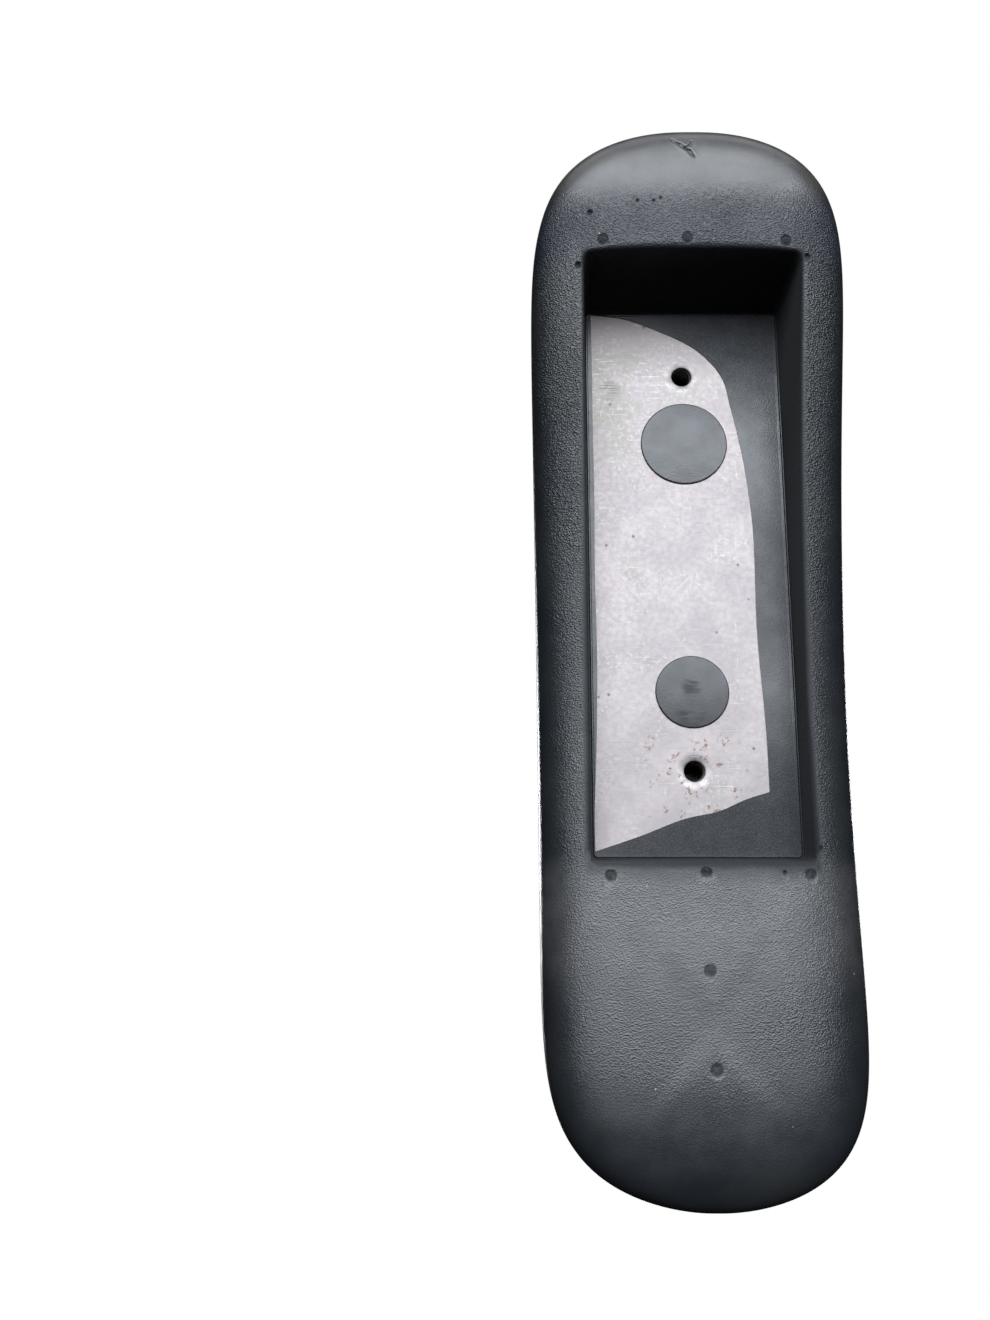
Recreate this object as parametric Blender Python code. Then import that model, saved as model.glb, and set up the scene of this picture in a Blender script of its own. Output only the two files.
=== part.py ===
"""Chair armrest pad: a one-shot moulding of integral-skin polyurethane foam round a steel insert.

The frame of the part is the insert's exposed face, where the chair's arm is screwed on:
origin half way between the two screw holes, +Z up through the cushion, +Y towards the
squarer rear end, -Y towards the long rounded nose, X across. The pad is symmetric about X = 0.
"""

from math import atan, cos, pi, sin

import bmesh
import bpy
from mathutils import Matrix, Vector

MM = 0.001

# --- driving dimensions, in millimetres ------------------------------------------------------

# Pad body. It is laid out about its own chord: "chord" coordinates have Y along the straight
# line between the two tips, with 0 half way, and Z = 0 at the crown of the arched parting line.
PAD_LENGTH = 271.6
ARCH_SAG = 20.6  # how far the tips of the parting line lie below its crown
REAR_HALF_WIDTH = 43.2  # of the outline before its ends are rounded
FRONT_HALF_WIDTH = 40.2
WAIST = 1.2  # how much the outline is drawn in half way along
REAR_STRAIGHTNESS = 10.5  # the higher, the later the sides turn in towards the end
REAR_ROUNDNESS = 2.13  # 2 makes the end a plain ellipse, more makes it blunter
FRONT_STRAIGHTNESS = 11.1
FRONT_ROUNDNESS = 1.88
TOP_HEIGHT = 26.0  # cushion above the parting line
TOP_SHOULDER = 3.0  # superellipse exponent of the section above the parting line
TOP_END = 5.5  # how late the cushion falls away towards its tips
BASE_DEPTH = 15.8  # underside below the parting line
NOSE_EXTRA_DEPTH = 4.5  # the solid nose is a little deeper
BASE_SHOULDER = 2.8
BASE_END = 4.0
TIP = 0.9998  # the last section before the surface closes on each tip
TIP_CROWDING = 2.5  # sections come closer together towards the tips by this power

# Where the insert's face lies in the pad.
FACE_CHORD_Y = 22.8
FACE_CHORD_Z = -1.95
FACE_TILT = atan(0.068)  # the face rises towards the rear, against the chord

# Recess in the underside that takes the chair's arm. Its floor is the insert's face.
FLOOR_HALF_WIDTH = 26.9
FLOOR_REAR = 73.8
FLOOR_FRONT = -77.6
FLOOR_CORNER = 1.6
SIDE_DRAFT = 0.06  # widening per millimetre towards the mouth
REAR_DRAFT = 0.14
FRONT_DRAFT = 0.16
MOUTH_CORNER = 3.4
CUT_DEPTH = 48.0

# Steel insert.
SCREW_PITCH = 110.0
SHEET = 2.0
LAND_RISE = 0.6  # the exposed land stands this far out of the sheet, level with the foam film
SHEET_HALF_WIDTH = 29.0
SHEET_REAR = 78.0
SHEET_REAR_CORNER = 9.0
SHEET_FRONT = -82.0
TONGUE_HALF_WIDTH = 21.0
TONGUE_FRONT = -132.0
TONGUE_CORNER = 12.0
SHEET_SCREW_HOLE = 6.2  # diameters
REAR_KEY_HOLE = 23.5
REAR_KEY_Y = 35.0
FRONT_KEY_HOLE = 19.3
FRONT_KEY_Y = -34.2
TONGUE_KEY_HOLE = 16.0
TONGUE_KEY_Y = -108.0

# The window in the thin foam film over the recess floor, through which the steel shows: the
# film crept in from the -X side and from both ends, and stopped along this line.
WINDOW = [
    (26.0, -75.6),
    (25.3, -50.0),
    (24.8, -25.0),
    (24.8, 72.8),
    (18.0, 72.6),
    (6.1, 68.5),
    (-5.3, 61.9),
    (-11.1, 54.5),
    (-13.1, 46.0),
    (-15.8, 31.7),
    (-17.5, 16.0),
    (-17.7, -20.0),
    (-18.9, -46.0),
    (-19.0, -60.4),
    (-6.0, -65.3),
    (2.6, -67.2),
    (14.2, -71.6),
]

# M6 weld nuts behind the sheet, and the blind holes that the mould's pins leave above them.
NUT_ACROSS_FLATS = 10.0
NUT_HEIGHT = 5.0
THREAD_BORE = 5.2
PIN_HOLE_HEIGHT = 4.0

GAP = 0.3  # between pieces that touch


# --- general helpers -------------------------------------------------------------------------


def clear_scene():
    for obj in list(bpy.data.objects):
        bpy.data.objects.remove(obj)


def material(name, colour, roughness, metallic):
    made = bpy.data.materials.new(name)
    made.use_nodes = True
    shader = made.node_tree.nodes["Principled BSDF"]
    shader.inputs["Base Color"].default_value = (*colour, 1.0)
    shader.inputs["Roughness"].default_value = roughness
    shader.inputs["Metallic"].default_value = metallic
    made.diffuse_color = (*colour, 1.0)
    return made


def link(name, mesh, finish=None):
    obj = bpy.data.objects.new(name, mesh)
    bpy.context.scene.collection.objects.link(obj)
    if finish:
        mesh.materials.append(finish)
    return obj


def as_cutter(obj):
    obj.hide_render = True
    obj.display_type = "WIRE"
    return obj


def boolean(obj, other, operation):
    step = obj.modifiers.new(operation.lower() + "_" + other.name, "BOOLEAN")
    step.operation = operation
    step.object = other
    step.solver = "EXACT"


def loft(rings, name):
    """A closed mesh through closed rings of equal count, in millimetres, capped at both ends."""
    shape = bmesh.new()
    rows = [[shape.verts.new(Vector(p) * MM) for p in ring] for ring in rings]
    count = len(rings[0])
    for low, high in zip(rows, rows[1:]):
        for i in range(count):
            j = (i + 1) % count
            shape.faces.new((low[i], low[j], high[j], high[i]))
    shape.faces.new(rows[0][::-1])
    shape.faces.new(rows[-1])
    bmesh.ops.recalc_face_normals(shape, faces=shape.faces)
    mesh = bpy.data.meshes.new(name)
    shape.to_mesh(mesh)
    shape.free()
    return mesh


def prism(outline, low, high, name):
    """The outline in the XY plane, extruded from Z = low to Z = high."""
    return loft([[(x, y, z) for x, y in outline] for z in (low, high)], name)


def circle(y, diameter, sides=40):
    turns = [2 * pi * i / sides for i in range(sides)]
    return [(diameter / 2 * cos(t), y + diameter / 2 * sin(t)) for t in turns]


def hexagon(y, across_flats):
    return circle(y, across_flats / cos(pi / 6), 6)


def rounded(corners, steps=6):
    """An outline from (x, y, radius) corners, each replaced by an arc. It runs anticlockwise."""
    points = []
    for i, (x, y, radius) in enumerate(corners):
        corner = Vector((x, y))
        before = (Vector(corners[i - 1][:2]) - corner).normalized()
        after = (Vector(corners[(i + 1) % len(corners)][:2]) - corner).normalized()
        half_angle = before.angle(after) / 2
        back = radius / (sin(half_angle) / cos(half_angle))
        centre = corner + (before + after).normalized() * (radius / sin(half_angle))
        start = corner + before * back - centre
        end = corner + after * back - centre
        turn = start.angle_signed(end)
        for k in range(steps + 1):
            step = Matrix.Rotation(-turn * k / steps, 2) @ start
            points.append(tuple(centre + step))
    return points


def grown(outline, amount):
    """The outline moved outwards by amount: each corner along its bisector."""
    if not amount:
        return outline
    moved = []
    for i, point in enumerate(outline):
        here = Vector(point)
        arriving = (here - Vector(outline[i - 1])).normalized()
        leaving = (Vector(outline[(i + 1) % len(outline)]) - here).normalized()
        first = Vector((arriving.y, -arriving.x))
        second = Vector((leaving.y, -leaving.x))
        bisector = (first + second).normalized()
        moved.append(tuple(here + bisector * (amount / bisector.dot(first))))
    area = sum(
        a[0] * b[1] - a[1] * b[0] for a, b in zip(outline, outline[1:] + outline[:1])
    )
    if area < 0:
        return grown(outline[::-1], amount)
    return moved


# --- pad body --------------------------------------------------------------------------------


def power(value, exponent):
    return abs(value) ** exponent


def half_width(t):
    """Half the outline's width at t, from -1 at the front tip to +1 at the rear tip."""
    along = (t + 1) / 2
    side = FRONT_HALF_WIDTH + (REAR_HALF_WIDTH - FRONT_HALF_WIDTH) * along
    side -= WAIST * 4 * along * (1 - along)
    straight = REAR_STRAIGHTNESS if t > 0 else FRONT_STRAIGHTNESS
    bend = REAR_ROUNDNESS if t > 0 else FRONT_ROUNDNESS
    return side * (1 - power(t, straight)) ** (1 / bend)


def parting_z(t):
    return -ARCH_SAG * t * t


def top_height(t):
    return TOP_HEIGHT * (1 - power(t, TOP_END)) ** (1 / TOP_SHOULDER)


def base_depth(t):
    deep = BASE_DEPTH + NOSE_EXTRA_DEPTH * max(0.0, -t) ** 2
    return deep * (1 - power(t, BASE_END)) ** (1 / BASE_SHOULDER)


def section(t, half_steps=20):
    """One ring of the body at t: superelliptic above and below the parting line."""
    width = half_width(t)
    ring = []
    for above, height, exponent in (
        (1, top_height(t), TOP_SHOULDER),
        (-1, base_depth(t), BASE_SHOULDER),
    ):
        for k in range(half_steps):
            angle = pi * k / half_steps
            if above < 0:
                angle += pi
            across = power(cos(angle), 2 / exponent) * (1 if cos(angle) > 0 else -1)
            up = power(sin(angle), 2 / exponent) * above
            ring.append((width * across, PAD_LENGTH / 2 * t, parting_z(t) + height * up))
    return ring


def chord_to_part():
    """The move from chord coordinates to the part's frame, in which the insert's face is level."""
    shift = Vector((0, -FACE_CHORD_Y, -FACE_CHORD_Z)) * MM
    return Matrix.Rotation(-FACE_TILT, 4, "X") @ Matrix.Translation(shift)


def make_pad_body(finish, half_stations=20):
    inward = [i / half_stations for i in range(half_stations)]
    forward = [1 - (1 - step) ** TIP_CROWDING for step in inward] + [TIP]
    rings = [section(t) for t in [-t for t in forward[:0:-1]] + forward]
    mesh = loft(rings, "pad_body")
    mesh.transform(chord_to_part())
    mesh.shade_smooth()
    mesh.set_sharp_from_angle(angle=0.6)
    return link("pad_body", mesh, finish)


def make_recess_cutter():
    """The tapered space of the recess, from its floor down past the underside."""

    def outline(depth, corner):
        side = FLOOR_HALF_WIDTH + SIDE_DRAFT * depth
        rear = FLOOR_REAR + REAR_DRAFT * depth
        front = FLOOR_FRONT - FRONT_DRAFT * depth
        corners = [(side, front), (side, rear), (-side, rear), (-side, front)]
        return rounded([(x, y, corner) for x, y in corners])

    rings = [
        [(x, y, -depth) for x, y in outline(depth, corner)]
        for depth, corner in ((0.0, FLOOR_CORNER), (CUT_DEPTH, MOUTH_CORNER))
    ]
    return as_cutter(link("recess_cutter", loft(rings, "recess_cutter")))


# --- insert ----------------------------------------------------------------------------------


def sheet_outline():
    shoulder = (SHEET_HALF_WIDTH - TONGUE_HALF_WIDTH) / 2
    half = [
        (TONGUE_HALF_WIDTH, TONGUE_FRONT, TONGUE_CORNER),
        (TONGUE_HALF_WIDTH, SHEET_FRONT - shoulder, 3.0),
        (SHEET_HALF_WIDTH, SHEET_FRONT, 6.0),
        (SHEET_HALF_WIDTH, SHEET_REAR, SHEET_REAR_CORNER),
    ]
    return rounded(half + [(-x, y, radius) for x, y, radius in half[::-1]])


def make_insert(name, grow, finish=None):
    """The stamped sheet with its exposed land, grown all over by grow to cut its own pocket."""
    bottom = LAND_RISE - grow
    top = LAND_RISE + SHEET + grow
    sheet = link(name, prism(grown(sheet_outline(), grow), bottom, top, name), finish)
    land_bottom = -0.5 if grow else 0.0
    land_mesh = prism(grown(WINDOW, grow), land_bottom, bottom + SHEET / 2, name + "_land")
    land = as_cutter(link(name + "_land", land_mesh))
    boolean(sheet, land, "UNION")
    for label, y, diameter in (
        ("rear_key", REAR_KEY_Y, REAR_KEY_HOLE),
        ("front_key", FRONT_KEY_Y, FRONT_KEY_HOLE),
        ("tongue_key", TONGUE_KEY_Y, TONGUE_KEY_HOLE),
        ("rear_screw", SCREW_PITCH / 2, SHEET_SCREW_HOLE),
        ("front_screw", -SCREW_PITCH / 2, SHEET_SCREW_HOLE),
    ):
        if grow and "screw" in label:
            continue
        hole = prism(circle(y, diameter - 2 * grow), -3.0, top + 3.0, name + "_" + label)
        boolean(sheet, as_cutter(link(name + "_" + label, hole)), "DIFFERENCE")
    return sheet


def nut_base():
    return LAND_RISE + SHEET + GAP


def make_weld_nut(name, y, finish):
    low, high = nut_base(), nut_base() + NUT_HEIGHT
    nut = link(name, prism(hexagon(y, NUT_ACROSS_FLATS), low, high, name), finish)
    bore = prism(circle(y, THREAD_BORE, 32), low - 1.0, high + 1.0, name + "_bore")
    boolean(nut, as_cutter(link(name + "_bore", bore)), "DIFFERENCE")
    return nut


def make_nut_pocket(name, y):
    """The room for a nut in the foam, with the pin's blind hole above it."""
    low, high = nut_base() - 1.0, nut_base() + NUT_HEIGHT
    outline = hexagon(y, NUT_ACROSS_FLATS + 2 * GAP)
    pocket = as_cutter(link(name, prism(outline, low, high + GAP, name)))
    pin = prism(circle(y, THREAD_BORE, 32), low, high + PIN_HOLE_HEIGHT, name + "_pin")
    boolean(pocket, as_cutter(link(name + "_pin", pin)), "UNION")
    return pocket


# --- assembly --------------------------------------------------------------------------------


def main():
    clear_scene()
    foam = material("integral_skin_foam", (0.032, 0.034, 0.038), 0.5, 0.0)
    steel = material("zinc_plated_sheet", (0.72, 0.70, 0.71), 0.42, 1.0)
    nut_steel = material("zinc_plated_nut", (0.55, 0.54, 0.52), 0.38, 1.0)

    body = make_pad_body(foam)
    boolean(body, make_recess_cutter(), "DIFFERENCE")
    boolean(body, as_cutter(make_insert("insert_pocket", GAP)), "DIFFERENCE")
    pieces = [body, make_insert("insert_plate", 0.0, steel)]
    for side, y in (("front", -SCREW_PITCH / 2), ("rear", SCREW_PITCH / 2)):
        boolean(body, make_nut_pocket("nut_pocket_" + side, y), "DIFFERENCE")
        pieces.append(make_weld_nut("weld_nut_" + side, y, nut_steel))

    assembly = bpy.data.objects.new("armrest_pad", None)
    bpy.context.scene.collection.objects.link(assembly)
    for piece in pieces:
        piece.parent = assembly


main()
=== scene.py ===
"""Chair armrest pad: the looks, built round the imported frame.

A one-shot moulding of integral-skin polyurethane foam round a zinc-plated steel insert. All
sizes are in millimetres in the frame of the part: the origin is on the insert's exposed face,
half way between its screw holes, +Z goes up through the cushion, +Y to the squarer rear end.
The moulding's outer surface is laid out about its chord, the straight line between its tips.
"""

from math import atan, cos, pi, radians, sin
from random import Random

import bmesh
import bpy
import numpy as np
from mathutils import Matrix, Vector

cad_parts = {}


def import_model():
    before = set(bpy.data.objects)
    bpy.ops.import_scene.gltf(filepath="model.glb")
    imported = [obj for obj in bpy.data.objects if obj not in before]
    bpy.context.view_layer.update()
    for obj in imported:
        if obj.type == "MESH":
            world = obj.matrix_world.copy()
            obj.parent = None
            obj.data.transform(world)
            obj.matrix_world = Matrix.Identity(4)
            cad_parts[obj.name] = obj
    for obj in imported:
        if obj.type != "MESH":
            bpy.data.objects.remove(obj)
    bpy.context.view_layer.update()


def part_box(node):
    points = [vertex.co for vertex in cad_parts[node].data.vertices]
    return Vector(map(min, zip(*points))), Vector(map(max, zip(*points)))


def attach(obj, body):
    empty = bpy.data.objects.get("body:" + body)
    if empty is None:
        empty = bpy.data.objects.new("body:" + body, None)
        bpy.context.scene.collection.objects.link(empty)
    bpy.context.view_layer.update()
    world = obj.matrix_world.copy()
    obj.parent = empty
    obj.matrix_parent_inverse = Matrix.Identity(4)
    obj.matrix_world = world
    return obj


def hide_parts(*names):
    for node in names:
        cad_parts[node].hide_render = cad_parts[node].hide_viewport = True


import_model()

MM = 0.001

# --- the moulding's outer shape, as in the CAD, in chord coordinates --------------------------

PAD_LENGTH = 271.6
ARCH_SAG = 20.6
REAR_HALF_WIDTH = 43.2
FRONT_HALF_WIDTH = 40.2
WAIST = 1.2
REAR_STRAIGHTNESS = 10.5
REAR_ROUNDNESS = 2.13
FRONT_STRAIGHTNESS = 11.1
FRONT_ROUNDNESS = 1.88
TOP_HEIGHT = 26.0
TOP_SHOULDER = 3.0
TOP_END = 5.5
BASE_DEPTH = 15.8
NOSE_EXTRA_DEPTH = 4.5
BASE_SHOULDER = 2.8
BASE_END = 4.0

FACE_CHORD_Y = 22.8
FACE_CHORD_Z = -1.95
FACE_TILT = atan(0.068)

# --- the recess ------------------------------------------------------------------------------

FLOOR_HALF_WIDTH = 26.9
FLOOR_REAR = 73.8
FLOOR_FRONT = -77.6
FLOOR_CORNER = 1.6
SIDE_DRAFT = 0.06
REAR_DRAFT = 0.14
FRONT_DRAFT = 0.16
CORNER_GROWTH = 0.015  # of the corner radius per millimetre of depth
ROLL_SIDE = 1.7  # how far the mouth's rolled edge reaches down the wall and over the underside
ROLL_REAR = 1.2
LAP_REAR = 1.6  # the roll runs out gently over the underside behind the recess
ROLL_FRONT = 1.8

# The floor is a thin film of foam over the steel, with a bead and a groove round its edge.
FILM = 0.25
BEAD_HEIGHT = 0.22
GROOVE_DEPTH = 0.2

# The seam where the mould's halves met, and the marks it left in the underside: the scars of
# trimmed vents, pits of trapped air with their radii, and the tear where the sprue was broken off.
SEAM_HEIGHT = 0.1
VENT_SCARS = [
    (23.6, 80.2),
    (1.7, 80.0),
    (-24.2, 79.9),
    (23.2, -82.4),
    (-0.1, -81.6),
    (-26.0, -82.0),
    (0.2, -105.1),
    (-0.2, -127.6),
]
VENT_RADIUS = 1.05
VENT_DEPTH = 0.28
PITS = [
    (26.9, 87.5, 0.6),
    (14.6, 89.8, 0.32),
    (10.4, 89.7, 0.3),
    (8.6, 90.4, 0.26),
    (-19.3, -81.6, 0.4),
    (29.9, 74.2, 0.75),
    (-30.0, 76.4, 0.7),
    (-29.2, -75.5, 0.45),
]
TEAR = [(5.2, 106.7), (3.4, 105.3), (2.1, 104.1), (0.7, 103.0), (-0.2, 101.6)]
TEAR_BRANCH = [(2.1, 104.1), (0.8, 105.2), (0.2, 106.3)]

# --- the insert --------------------------------------------------------------------------------

SHEET = 2.6
SHEET_HALF_WIDTH = 29.0
SHEET_REAR = 78.0
SHEET_REAR_CORNER = 9.0
SHEET_FRONT = -82.0
TONGUE_HALF_WIDTH = 21.0
TONGUE_FRONT = -132.0
TONGUE_CORNER = 12.0
REAR_KEY = (35.0, 23.5)  # Y and diameter
FRONT_KEY = (-34.2, 19.3)
TONGUE_KEY = (-108.0, 16.0)
PLUG_PROUD = 0.45  # how far the foam plugs in the keying holes stand out of the steel
BOND_GAP = 0.02  # between foam and steel, so that their faces don't coincide
EDGE_GAP = 0.1
SCREW_HOLE = 5.5
DISH = 9.4  # diameter of the shallow dish round each screw hole
DISH_DEPTH = 0.35
THREAD = 6.0
THREAD_PITCH = 1.0
NUT_ACROSS_FLATS = 10.0
NUT_GAP = 0.3
NUT_POCKET_TOP = 8.0
PIN_HOLE = 5.2  # diameter of the blind hole that the mould's pin left above the nut
PIN_HOLE_TOP = 11.9

# The edge of the window in the film, through which the steel shows, as smooth runs between its
# corners: the narrow strip with its nick on the +X side, the front, and the rest of the way round.
WINDOW = [
    [
        (24.9, 73.4),
        (24.8, 57.0),
        (24.8, 38.0),
        (24.7, 20.5),
        (24.9, 0.0),
        (24.7, -28.0),
        (25.3, -50.0),
        (26.0, -67.0),
        (26.0, -75.6),
    ],
    [(26.0, -75.6), (14.2, -71.6), (2.6, -67.2), (-6.0, -65.3), (-12.9, -62.3), (-19.0, -60.4)],
    [
        (-19.0, -60.4),
        (-18.9, -46.0),
        (-17.7, -20.0),
        (-17.5, 16.0),
        (-15.8, 31.7),
        (-13.1, 46.0),
        (-11.1, 54.5),
        (-5.3, 61.9),
        (6.1, 68.5),
        (18.0, 72.7),
        (24.9, 73.4),
    ],
]

# --- marks of use, as places in the plane of the insert's face ---------------------------------

FRONT_DULL = (-14.0, -92.0, 0)  # where the film lost its gloss: in front, at the rear and beside; the rear patch, at the foot of the rear wall, is also painted darker as painted shade
REAR_DULL_AND_SHADE = (-14.0, 72.0, 0)
SIDE_DULL = (-24.0, -6.0, 0)
NOSE_SINK_Y = -116.5
TARNISHED = (15.0, 50.0, 0)
SMEARED = (20.0, 51.0, 0)
RUSTY = (0.5, -57.0, 0)

# --- stage and camera, in metres -----------------------------------------------------------------

STUDIO_FLOOR_Z = -1.7
STUDIO_FLOOR_REACH = 40
CAMERA_PLACE = Vector((0.0507, -0.1034, -0.3326))
CAMERA_FORWARD = Vector((0.0024, 0.2276, 0.9738))
CAMERA_UP = Vector((0.0007, 0.9738, -0.2276))
FOCAL_LENGTH = 35.4545  # millimetres, like the sensor's long side
SENSOR = 36.0
KEY_DISTANCE = 1.5
KEY_POWER = 74.0
KEY_SIZE = (2.7, 1.0)
AMBIENT = 0.012


# --- general helpers -------------------------------------------------------------------------


def link(name, mesh, finish=None):
    obj = bpy.data.objects.new(name, mesh)
    bpy.context.scene.collection.objects.link(obj)
    if finish:
        mesh.materials.clear()
        mesh.materials.append(finish)
    return obj


def mesh_from(name, points, faces):
    """A mesh from points in millimetres."""
    mesh = bpy.data.meshes.new(name)
    mesh.from_pydata([Vector(p) * MM for p in points], [], faces)
    mesh.validate()
    return mesh


def shade(mesh, degrees=38):
    mesh.shade_smooth()
    mesh.set_sharp_from_angle(angle=radians(degrees))


def recalculate(mesh):
    shape = bmesh.new()
    shape.from_mesh(mesh)
    bmesh.ops.recalc_face_normals(shape, faces=shape.faces)
    shape.to_mesh(mesh)
    shape.free()


def tube(rings, name, closed=False):
    """A mesh through closed rings of equal count, capped at both ends, or joined into a torus."""
    count = len(rings[0])
    points = [p for ring in rings for p in ring]
    faces = []
    rows = len(rings)
    for row in range(rows if closed else rows - 1):
        low, high = row * count, (row + 1) % rows * count
        for i in range(count):
            j = (i + 1) % count
            faces.append((low + i, low + j, high + j, high + i))
    if not closed:
        faces.append(tuple(range(count))[::-1])
        faces.append(tuple(range((rows - 1) * count, rows * count)))
    mesh = mesh_from(name, points, faces)
    recalculate(mesh)
    return mesh


def prism(outline, low, high, name):
    return tube([[(x, y, z) for x, y in outline] for z in (low, high)], name)


def circle(x, y, diameter, sides=64, turn=0.0):
    angles = [turn + 2 * pi * i / sides for i in range(sides)]
    return [(x + diameter / 2 * cos(a), y + diameter / 2 * sin(a)) for a in angles]


def turned(x, y, profile, name, sides=72, closed=False):
    """A turned solid about a vertical axis, from (diameter, z) pairs."""
    rings = [[(a, b, z) for a, b in circle(x, y, d, sides)] for d, z in profile]
    return tube(rings, name, closed)


def rounded(corners, steps=8):
    """An outline from (x, y, radius) corners, each replaced by an arc. It runs anticlockwise."""
    points = []
    for i, (x, y, radius) in enumerate(corners):
        corner = Vector((x, y))
        before = (Vector(corners[i - 1][:2]) - corner).normalized()
        after = (Vector(corners[(i + 1) % len(corners)][:2]) - corner).normalized()
        half_angle = before.angle(after) / 2
        back = radius / (sin(half_angle) / cos(half_angle))
        centre = corner + (before + after).normalized() * (radius / sin(half_angle))
        start = corner + before * back - centre
        turn = start.angle_signed(corner + after * back - centre)
        for k in range(steps + 1):
            points.append(tuple(centre + Matrix.Rotation(-turn * k / steps, 2) @ start))
    return points


def grown(outline, amount):
    """The outline moved outwards by amount: each corner along its bisector."""
    area = sum(a[0] * b[1] - a[1] * b[0] for a, b in zip(outline, outline[1:] + outline[:1]))
    if area < 0:
        outline = outline[::-1]
    moved = []
    for i, point in enumerate(outline):
        here = Vector(point)
        arriving = (here - Vector(outline[i - 1])).normalized()
        leaving = (Vector(outline[(i + 1) % len(outline)]) - here).normalized()
        first = Vector((arriving.y, -arriving.x))
        second = Vector((leaving.y, -leaving.x))
        bisector = (first + second).normalized()
        moved.append(tuple(here + bisector * (amount / bisector.dot(first))))
    return moved


def smooth_run(points, steps=8):
    """A smooth curve through the points, without its last point. Its ends leave straight."""
    places = [Vector(p) for p in points]
    headings = [(places[1] - places[0]).normalized()]
    for before, here, after in zip(places, places[1:], places[2:]):
        arriving, leaving = here - before, after - here
        weighed = arriving.normalized() / arriving.length + leaving.normalized() / leaving.length
        headings.append(weighed.normalized())
    headings.append((places[-1] - places[-2]).normalized())
    made = []
    for k in range(len(places) - 1):
        a, b = places[k], places[k + 1]
        first, last = (headings[k + i] * (b - a).length for i in (0, 1))
        for step in range(steps):
            t = step / steps
            spot = a * (2 * t**3 - 3 * t**2 + 1) + b * (3 * t**2 - 2 * t**3)
            spot += first * (t**3 - 2 * t**2 + t) + last * (t**3 - t**2)
            made.append(tuple(spot))
    return made


def boolean(obj, other, operation):
    """Applies an exact Boolean, and removes the other object."""
    step = obj.modifiers.new(operation.lower(), "BOOLEAN")
    step.operation = operation
    step.object = other
    step.solver = "EXACT"
    bpy.context.view_layer.update()
    graph = bpy.context.evaluated_depsgraph_get()
    made = bpy.data.meshes.new_from_object(obj.evaluated_get(graph))
    obj.modifiers.clear()
    obj.data = made
    bpy.data.objects.remove(other)


# --- the moulding's surfaces --------------------------------------------------------------------


def half_width(t):
    """Half the outline's width at t, from -1 at the front tip to +1 at the rear tip."""
    along = (t + 1) / 2
    side = FRONT_HALF_WIDTH + (REAR_HALF_WIDTH - FRONT_HALF_WIDTH) * along
    side = side - WAIST * 4 * along * (1 - along)
    straight = np.where(t > 0, REAR_STRAIGHTNESS, FRONT_STRAIGHTNESS)
    bend = np.where(t > 0, REAR_ROUNDNESS, FRONT_ROUNDNESS)
    return side * np.maximum(0, 1 - np.abs(t) ** straight) ** (1 / bend)


def parting_z(t):
    return -ARCH_SAG * t * t


def drop(x, y, above):
    """How far the surface lies above or below the parting line at chord (x, y)."""
    t = np.clip(y / (PAD_LENGTH / 2), -1, 1)
    if above:
        height = TOP_HEIGHT * (1 - np.abs(t) ** TOP_END) ** (1 / TOP_SHOULDER)
        shoulder = TOP_SHOULDER
    else:
        height = BASE_DEPTH + NOSE_EXTRA_DEPTH * np.maximum(0, -t) ** 2
        height = height * (1 - np.abs(t) ** BASE_END) ** (1 / BASE_SHOULDER)
        shoulder = BASE_SHOULDER
    across = np.clip(np.abs(x) / np.maximum(half_width(t), 1e-6), 0, 1)
    return height * (1 - across**shoulder) ** (1 / shoulder)


def chord_z(x, y, above):
    t = np.clip(y / (PAD_LENGTH / 2), -1, 1)
    return parting_z(t) + drop(x, y, above) * (1 if above else -1)


def to_part(points):
    """Chord coordinates to the part's frame."""
    y, z = points[..., 1] - FACE_CHORD_Y, points[..., 2] - FACE_CHORD_Z
    c, s = cos(FACE_TILT), sin(FACE_TILT)
    return np.stack([points[..., 0], y * c + z * s, z * c - y * s], -1)


def to_chord(points):
    c, s = cos(FACE_TILT), sin(FACE_TILT)
    y, z = points[..., 1], points[..., 2]
    return np.stack([points[..., 0], y * c - z * s + FACE_CHORD_Y, y * s + z * c + FACE_CHORD_Z], -1)


# --- the moulding's mesh: closed rings from the recess floor out, round and over the top ---------

FRONT_STEPS, CORNER_STEPS, SIDE_STEPS, REAR_STEPS = 48, 9, 118, 40
FRONT_REACH = -92.0  # chord Y of the outline point that the recess's front corner fans out to
REAR_REACH = 92.0
UNDERSIDE_STEPS, CUSHION_STEPS = 34, 36
CROWN_SHARE = 0.72  # of the pad's length, along which the crown line runs
# The edge of the floor: how far in each ring lies, and its height as a share of the bead's,
# or below 0 of the groove's.
FLOOR_EDGE = [
    (3.0, 0.0),
    (1.25, 0.0),
    (1.05, 0.04),
    (0.9, 0.6),
    (0.75, 0.95),
    (0.6, 0.9),
    (0.48, 0.3),
    (0.36, -0.6),
    (0.2, -0.9),
    (0.08, -0.6),
]
# How far from the parting line the rings of the rim lie, below it and above it.
RIM_HEIGHTS = [4.0, 3.2, 2.5, 2.0, 1.6, 1.3, 1.05, 0.85, 0.68, 0.52, 0.38, 0.25, 0.12]


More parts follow.
